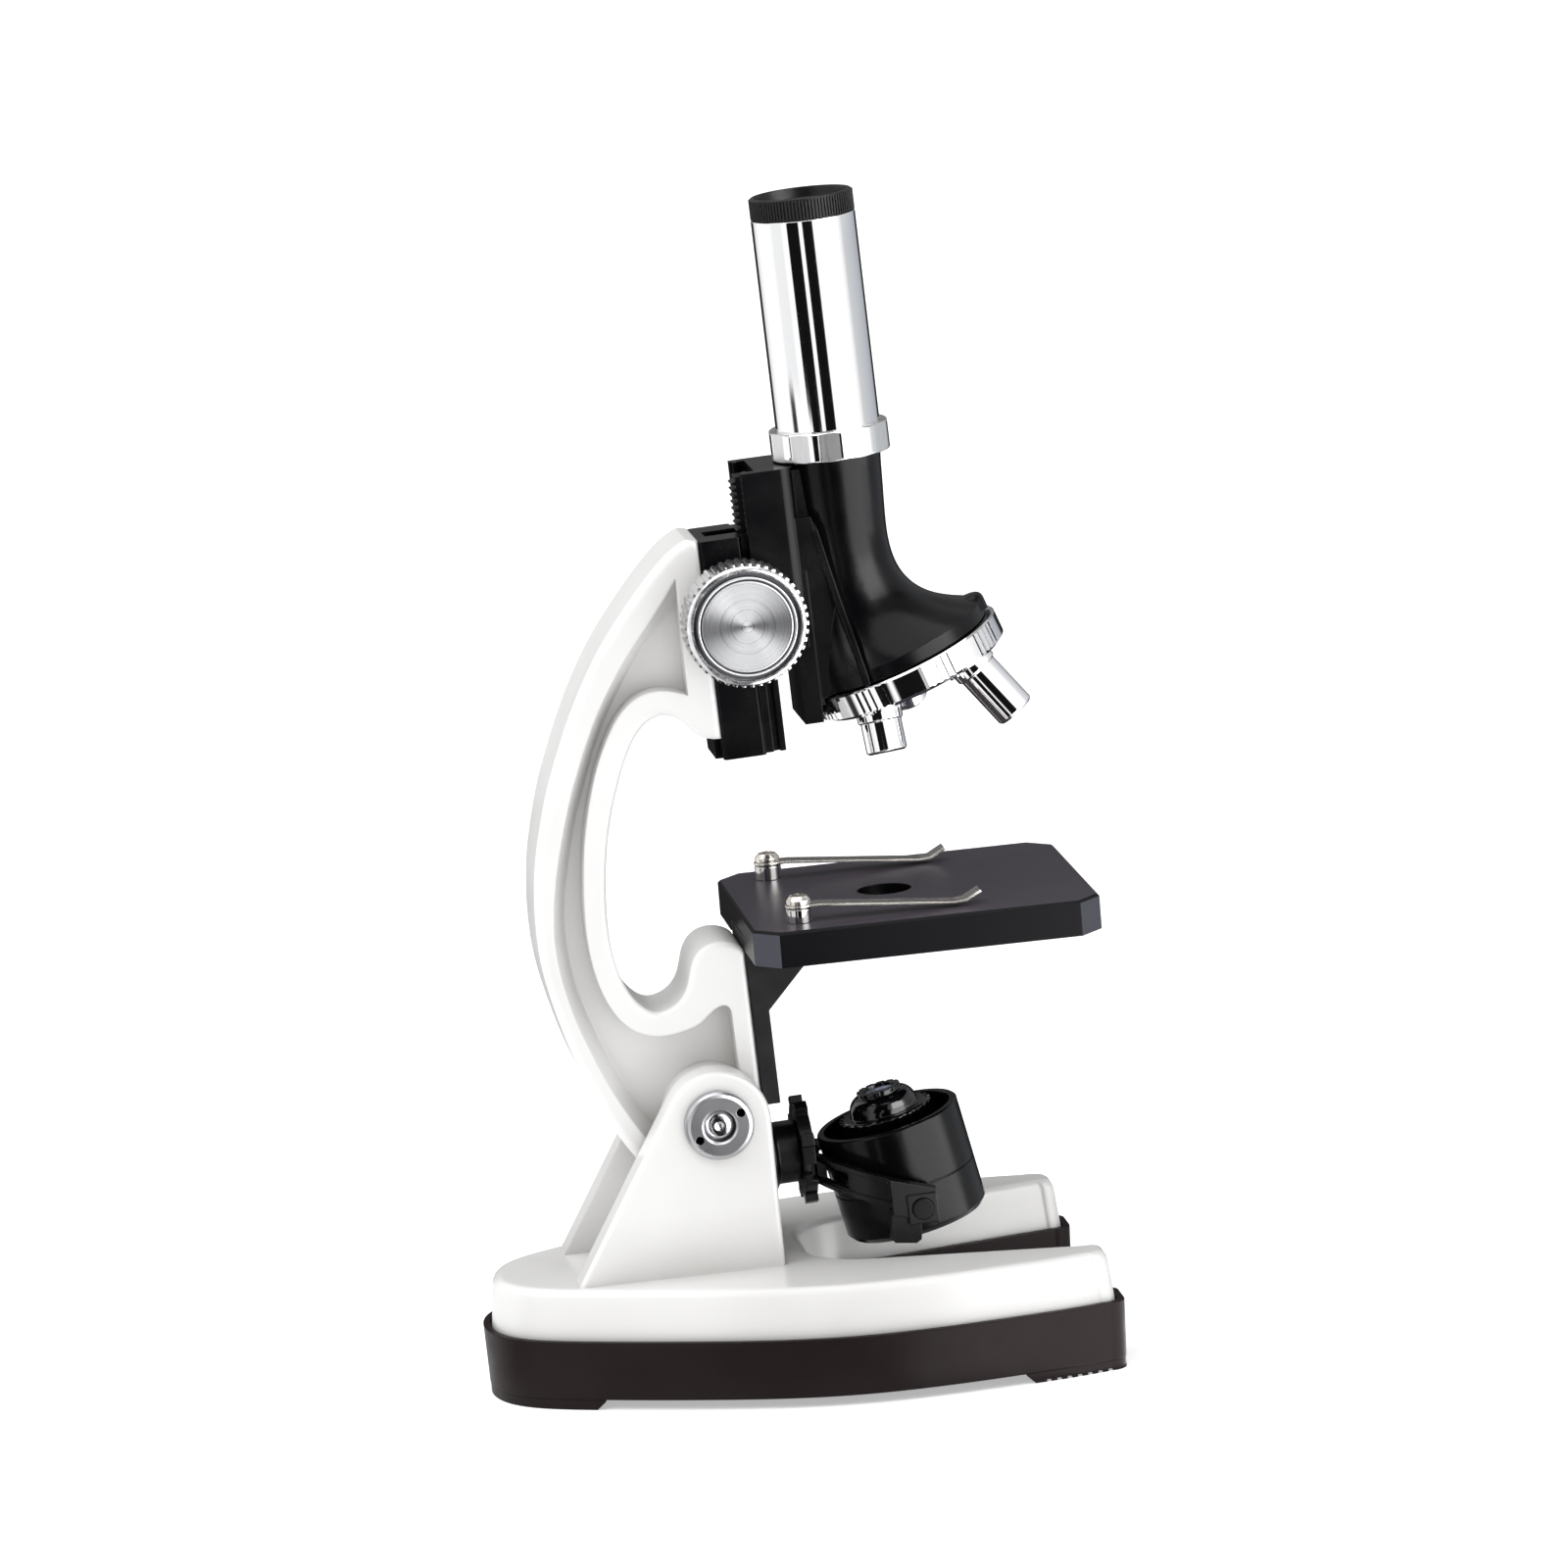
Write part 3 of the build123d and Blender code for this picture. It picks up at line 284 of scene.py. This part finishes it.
def nickel(name="nickel", warm=(0.70, 0.665, 0.615), lo=0.13, hi=0.27):
    m = Mat(name, Metallic=1.0)
    m.color(m.noise(2.2, 3.0), tuple(x * 0.86 for x in warm), tuple(min(1.0, x * 1.12) for x in warm))
    m.rough(m.noise(1.1, 4.0, 0.65), lo, hi)
    m.bump(m.noise(0.5, 2.0), 0.006, 0.3)
    return m.m


def spring_steel():
    m = Mat("spring_steel", Metallic=1.0)
    grain = m.noise(0.5, 3.0, 0.6, stretch=(0.04, 1.0, 1.0))
    m.color(grain, (0.52, 0.49, 0.45), (0.74, 0.71, 0.67))
    m.rough(m.noise(0.7, 3.0, 0.6, stretch=(0.05, 1.0, 1.0)), 0.16, 0.30)
    m.bump(grain, 0.006, 0.4)
    return m.m


def turned(name, centre, axis, rings_mm=0.16, aniso=0.92, lo=0.24, hi=0.34):
    """Metal turned on a lathe: fine rings about an axis, seen as a fan of light and dark."""
    m = Mat(name, Metallic=1.0, Anisotropic=aniso)
    d = m.vmath("SUBTRACT", m.co, tuple(centre))
    along = m.vmath("CROSS_PRODUCT", tuple(axis), d)
    tang = m.node("VectorTransform", vector_type="VECTOR", convert_from="OBJECT", convert_to="WORLD")
    m.link(m.vmath("NORMALIZE", along), tang.inputs[0])
    m.link(tang.outputs[0], m.p.inputs["Tangent"])
    r = m.vmath("LENGTH", along, out=1)
    comb = m.node("CombineXYZ")
    m.link(r, comb.inputs[0])
    ring = m.noise(rings_mm, 2.0, 0.7, vec=comb.outputs[0])
    tone = m.ramp(ring, (0.3, (0.40, 0.403, 0.415)), (0.7, (0.56, 0.563, 0.575)))
    # a bright bead stands between two grooves near the rim; the grooves are painted dark, as painted shade
    painted_groove_shade = m.ramp(m.math("DIVIDE", r, 0.0105), (0.0, (1.0, 1.0, 1.0)), (0.8095, (0.14, 0.14, 0.15)), (0.8334, (1.0, 1.0, 1.0)),
                  (0.8838, (0.16, 0.16, 0.17)), mode="CONSTANT")
    m.link(m.vmath("MULTIPLY", tone, painted_groove_shade), m.p.inputs["Base Color"])
    m.rough(m.noise(rings_mm * 3, 2.0, 0.6, vec=comb.outputs[0]), lo, hi)
    m.bump(ring, 0.006, 0.5)
    return m.m


def lens_glass(name, tint):
    m = Mat(name, IOR=1.52, Transmission_Weight=1.0, Coat_Weight=0.6, Coat_Roughness=0.02, Coat_Tint=tint)
    m.color(m.noise(4, 2.0), (0.90, 0.93, 0.97), (0.96, 0.97, 0.99))
    m.rough(m.noise(3, 3.0), 0.0, 0.02)
    return m.m


def mirror_glass():
    m = Mat("mirror_silver", Metallic=1.0)
    m.color(m.noise(8, 2.0), (0.90, 0.915, 0.925), (0.94, 0.95, 0.955))
    m.rough(m.noise(5, 3.0), 0.008, 0.025)
    return m.m


def brass():
    m = Mat("brass_gear", Metallic=1.0)
    m.color(m.noise(1.5, 3.0), (0.56, 0.41, 0.17), (0.70, 0.54, 0.25))
    m.rough(m.noise(1.0, 3.0), 0.22, 0.38)
    return m.m


def cell_wrap():
    m = Mat("cell_wrap", IOR=1.5)
    x = m.node("SeparateXYZ")
    m.link(m.co, x.inputs[0])
    band = m.math("GREATER_THAN", m.math("ABSOLUTE", x.outputs[1]), 0.0145)
    grain = m.noise(2.5, 3.0)
    dark = m.ramp(grain, (0.3, (0.016, 0.018, 0.022)), (0.7, (0.026, 0.028, 0.034)))
    light = m.ramp(grain, (0.3, (0.32, 0.33, 0.34)), (0.7, (0.42, 0.43, 0.44)))
    mix = m.node("Mix", data_type="RGBA")
    m.link(band, mix.inputs[0])
    m.link(dark, mix.inputs[6])
    m.link(light, mix.inputs[7])
    m.link(mix.outputs[2], m.p.inputs["Base Color"])
    m.rough(grain, 0.22, 0.34)
    return m.m


KNOB = leaned(1.3, 0, 143.8)
TUBE_X = 23.3
WHITE = white_paint()
TRAY = tray_plastic()
GLOSS = gloss_black()
LAMP = gloss_black("lamp_black", 0.15, 0.24, (0.0018, 0.0017, 0.0021), 0.16)
FORK = gloss_black("fork_black", 0.24, 0.34, (0.0026, 0.0025, 0.0030), 0.22)
DOME = gloss_black("dome_black", 0.05, 0.11, spec=0.5)
SATIN = satin_black()
EYE = satin_black("eyepiece_black", (0.0060, 0.0058, 0.0064), 0.30, 0.44, 0.22)
STAGE = stage_black()
CHROME = chrome()
RING = ring_chrome(leaned(TUBE_X, 0, 170))
NUT = gunmetal()
NICKEL = nickel()
STEEL = nickel("zinc_steel", (0.56, 0.56, 0.57), 0.20, 0.36)
DARK = nickel("blackened_steel", (0.055, 0.055, 0.060), 0.28, 0.42)
POST = nickel("post_nickel", (0.54, 0.53, 0.52), 0.05, 0.10)
BOLT = nickel("bolt_steel", (0.62, 0.62, 0.63), 0.10, 0.20)
SPRING = spring_steel()
ALU = nickel("knurled_aluminium", (0.80, 0.80, 0.81), 0.16, 0.28)
SPUN = turned("spun_aluminium", KNOB, (0, 1, 0))
GLASS = lens_glass("coated_glass", (0.80, 0.86, 1.0))
MIRROR = mirror_glass()
BRASS = brass()
CELL = cell_wrap()

LOOKS = {
    "arm": WHITE, "base_cover": WHITE,
    "base_tray": TRAY, "base_feet": TRAY, "battery_door": TRAY,
    "base_screws": STEEL, "battery_contacts": STEEL, "battery_cells": CELL,
    "pivot_bolt": BOLT, "pivot_nuts": NUT, "pivot_washers": STEEL,
    "guide_block": GLOSS, "guide_screws": STEEL, "tube_carrier": GLOSS, "rack": SATIN,
    "stage_bracket": SATIN, "bracket_screws": DARK, "stage_plate": STAGE,
    "clip_posts": POST, "clip_screws": NICKEL, "clip_near": SPRING, "clip_far": SPRING,
    "lock_ring": RING, "eyepiece_tube": CHROME, "eyepiece_shell": EYE, "turret": CHROME, "turret_screw": STEEL,
    "objective_short": CHROME, "objective_medium": CHROME, "objective_long": CHROME,
    "focus_shaft": STEEL, "pinion": BRASS, "knob_near": ALU, "knob_far": ALU, "knob_caps": SPUN,
    "eye_lens": GLASS, "field_lens": GLASS, "objective_lenses": GLASS, "lamp_lens": GLASS, "mirror": MIRROR,
    "lamp_stub": FORK, "lamp_fork": FORK, "lamp_drum": LAMP, "lamp_cap": DOME,
}


def paint(obj, material):
    obj.data.materials.clear()
    obj.data.materials.append(material)


# ------------------------------------------------------------------ pieces with eased edges
def eased(node, width_mm, segments=3, angle=25.0, flat=0.7, weld=2e-6):
    """A piece in a CAD node's place, the same shape with its edges eased by a small radius."""
    me = bpy.data.meshes.new(node + "_eased")
    bm = bmesh.new()
    bm.from_mesh(NODES[node].data)
    bmesh.ops.remove_doubles(bm, verts=bm.verts, dist=weld)
    bmesh.ops.dissolve_degenerate(bm, dist=weld, edges=bm.edges)
    bmesh.ops.dissolve_limit(bm, angle_limit=math.radians(flat), use_dissolve_boundaries=False,
                             verts=bm.verts, edges=bm.edges)
    for f in bm.faces:
        f.smooth = True
    bm.to_mesh(me)
    bm.free()
    o = bpy.data.objects.new(node + "_eased", me)
    bpy.context.scene.collection.objects.link(o)
    b = o.modifiers.new("ease", "BEVEL")
    b.width = width_mm * MM
    b.segments = segments
    b.limit_method = "ANGLE"
    b.angle_limit = math.radians(angle)
    b.use_clamp_overlap = True
    b.miter_outer = "MITER_SHARP"
    w = o.modifiers.new("even", "WEIGHTED_NORMAL")
    w.weight = 50
    w.keep_sharp = True
    paint(o, LOOKS[node])
    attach(o, BODY[node])
    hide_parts(node)
    return o


for n, o in NODES.items():
    paint(o, LOOKS[n])

EASE = {
    "guide_block": 0.22, "tube_carrier": 0.30, "rack": 0.08, "stage_bracket": 0.25, "stage_plate": 0.22,
    "clip_near": 0.08, "clip_far": 0.08, "clip_posts": 0.12, "clip_screws": 0.10,
    "pivot_bolt": 0.35, "lock_ring": 0.10, "eyepiece_tube": 0.15, "eyepiece_shell": 0.08,
    "turret": 0.10, "objective_short": 0.12, "objective_medium": 0.12, "objective_long": 0.12,
    "knob_near": 0.08, "knob_far": 0.08, "knob_caps": 0.10,
    "lamp_stub": 0.25, "lamp_fork": 0.2, "lamp_drum": 0.2, "lamp_cap": 0.15, "battery_door": 0.15,
}
FACETED = {"lock_ring": 12.0}
for n, w in EASE.items():
    eased(n, w, angle=FACETED.get(n, 25.0))

# ------------------------------------------------------------------ camera
AZ, EL, ROLL = math.radians(-6.95), math.radians(10.72), math.radians(4.78)
back = Vector((math.sin(AZ) * math.cos(EL), -math.cos(AZ) * math.cos(EL), math.sin(EL)))
right = Vector((math.cos(AZ), math.sin(AZ), 0.0))
up = back.cross(right)
cr, sr = math.cos(ROLL), math.sin(ROLL)
cx, cy = cr * right - sr * up, sr * right + cr * up
cam = bpy.data.cameras.new("camera")
cam.sensor_width = 36.0
cam.lens = 8268.0 * 36.0 / 1600.0
cam.clip_start, cam.clip_end = 0.05, 100.0
camera = bpy.data.objects.new("camera", cam)
place = Matrix((cx, cy, back)).transposed().to_4x4()
place.translation = Vector((0.005, 0.0, 0.110)) + 1.513 * back
camera.matrix_world = place
bpy.context.scene.collection.objects.link(camera)
bpy.context.scene.camera = camera

# ------------------------------------------------------------------ floor, light tent and lights
me = bpy.data.meshes.new("floor")
me.from_pydata([(-30, -30, 0), (30, -30, 0), (30, 30, 0), (-30, 30, 0)], [], [(0, 1, 2, 3)])
floor = bpy.data.objects.new("floor", me)
bpy.context.scene.collection.objects.link(floor)
f = Mat("floor_paper", Specular_IOR_Level=0.1, Emission_Color=(1.0, 1.0, 1.0), Emission_Strength=0.42)
f.color(f.noise(120, 3.0), (0.80, 0.80, 0.80), (0.82, 0.82, 0.82))
f.rough(f.noise(15, 2.0), 0.85, 0.95)
paint(floor, f.m)


def tent(radius, height):
    """A round light tent and its floor, met only by reflections: white cloth with dark gaps toward the front."""
    n = 160
    vs, fs = [], []
    for i in range(n):
        a = 2 * math.pi * i / n
        c, q = math.cos(a), math.sin(a)
        vs += [(radius * c, radius * q, 0.0006), (radius * c, radius * q, height), (0.070 * c, 0.050 * q, 0.0006)]
        j = (i + 1) % n
        fs += [(3 * i, 3 * j, 3 * j + 1, 3 * i + 1), (3 * i, 3 * i + 2, 3 * j + 2, 3 * j)]
    me = bpy.data.meshes.new("tent")
    me.from_pydata(vs, [], fs)
    o = bpy.data.objects.new("tent", me)
    bpy.context.scene.collection.objects.link(o)
    m = bpy.data.materials.new("tent_cloth")
    m.use_nodes = True
    t = m.node_tree
    t.nodes.clear()
    out = t.nodes.new("ShaderNodeOutputMaterial")
    em = t.nodes.new("ShaderNodeEmission")
    co = t.nodes.new("ShaderNodeTexCoord")
    sep = t.nodes.new("ShaderNodeSeparateXYZ")
    at = t.nodes.new("ShaderNodeMath")
    at.operation = "ARCTAN2"
    mr = t.nodes.new("ShaderNodeMapRange")
    mr.inputs["From Min"].default_value, mr.inputs["From Max"].default_value = -math.pi, math.pi
    t.links.new(co.outputs["Object"], sep.inputs[0])
    t.links.new(sep.outputs[1], at.inputs[0])
    t.links.new(sep.outputs[0], at.inputs[1])
    t.links.new(at.outputs[0], mr.inputs["Value"])

    def cloth(stops):
        """Brightness by bearing, counted from the front of the tent, positive to the right."""
        ramp = t.nodes.new("ShaderNodeValToRGB")
        t.links.new(mr.outputs[0], ramp.inputs[0])
        e = ramp.color_ramp.elements
        while len(e) > 1:
            e.remove(e[-1])
        for i, (deg, v) in enumerate(sorted(((d + 83.05) / 360.0, v) for d, v in stops)):
            el = e[0] if i == 0 else e.new(deg)
            el.position = deg
            el.color = (*v, 1.0) if isinstance(v, tuple) else (v, v, v, 1.0)
        return ramp.outputs[0]

    def above(z0, z1, lower, upper):
        step = t.nodes.new("ShaderNodeMapRange")
        step.interpolation_type = "SMOOTHSTEP"
        step.inputs["From Min"].default_value, step.inputs["From Max"].default_value = z0, z1
        t.links.new(sep.outputs[2], step.inputs["Value"])
        mix = t.nodes.new("ShaderNodeMix")
        mix.data_type = "RGBA"
        t.links.new(step.outputs[0], mix.inputs[0])
        t.links.new(lower, mix.inputs[6])
        t.links.new(upper, mix.inputs[7])
        return mix.outputs[2]

    low = cloth([(-83, 1.0), (-78, 0.03), (-70, 0.03), (-66, 1.0), (-31, 1.0), (-30, 0.006), (-15, 0.006), (-14, 1.0),
                 (-10.5, 1.0), (-9.5, 0.006), (18, 0.006), (22, 0.9), (26, 4.6), (84, 4.6), (96, 0.95), (112, (0.62, 0.635, 0.66)), (130, (0.42, 0.44, 0.475)), (149, 0.02), (211, 0.02),
                 (218, 0.75), (240, 1.0)])
    mid = cloth([(-83, 1.0), (-76, 0.86), (-53, 0.84), (-48, 1.0), (-38, 1.0), (-36.8, 0.006), (-11.2, 0.006), (-10, 1.0),
                 (-2.8, 1.0), (-1.6, 0.006), (19.5, 0.006), (20.8, 1.0), (24, 1.2), (30, 4.6), (66, 4.6), (76, 1.0), (84, 0.85), (90, 0.60),
                 (104, (0.53, 0.545, 0.565)), (126, (0.45, 0.465, 0.50)), (142, (0.36, 0.38, 0.415)), (149, 0.02),
                 (211, 0.02), (218, 0.75), (240, 1.0)])
    flag = cloth([(-83, 1.0), (-37, 1.0), (-35, 0.006), (11, 0.006), (13, 1.0), (24, 1.2), (30, 8.0), (66, 8.0), (78, 1.0), (96, 0.72),
                  (118, (0.60, 0.61, 0.63)), (142, (0.42, 0.435, 0.46)), (160, 0.19), (200, 0.19), (216, 0.8), (236, 1.0)])
    roof = cloth([(-83, 0.5), (-64, 0.03), (100, 0.03), (125, 0.5), (200, 0.6)])
    walls = above(0.165, 0.195, above(0.088, 0.096, low, mid), flag)
    t.links.new(above(0.46, 0.54, walls, roof), em.inputs[0])
    t.links.new(em.outputs[0], out.inputs[0])
    em.inputs["Strength"].default_value = 1.16
    o.data.materials.append(m)
    for k in ("camera", "diffuse", "transmission", "volume_scatter", "shadow"):
        setattr(o, "visible_" + k, False)
    return o


tent(0.5, 0.62)

world = bpy.data.worlds.new("studio")
bpy.context.scene.world = world
world.use_nodes = True
bg = world.node_tree.nodes["Background"]
bg.inputs[0].default_value = (1.0, 1.0, 1.0, 1.0)
bg.inputs[1].default_value = 0.48


def soft_light(name, at, aim, size, power):
    d = bpy.data.lights.new(name, "AREA")
    d.shape = "RECTANGLE"
    d.size, d.size_y = size
    d.energy = power
    o = bpy.data.objects.new(name, d)
    o.location = at
    o.rotation_mode = "QUATERNION"
    o.rotation_quaternion = (Vector(aim) - Vector(at)).to_track_quat("-Z", "Y")
    o.visible_camera = False
    bpy.context.scene.collection.objects.link(o)
    return o


soft_light("key", (-1.9, -0.9, 1.5), (0, 0, 0.1), (1.2, 1.2), 13)
soft_light("fill", (1.7, -0.7, 0.9), (0, 0, 0.1), (0.9, 1.2), 5)
sun = bpy.data.lights.new("overhead", "SUN")
sun.energy = 2.15
sun.angle = math.radians(75)
top = bpy.data.objects.new("overhead", sun)
top.rotation_mode = "QUATERNION"
top.rotation_quaternion = Vector((0.25, 0.12, -1.0)).to_track_quat("-Z", "Y")
bpy.context.scene.collection.objects.link(top)

vs = bpy.context.scene.view_settings
vs.view_transform = "Standard"
vs.look = "None"
vs.exposure, vs.gamma = 0.0, 1.0
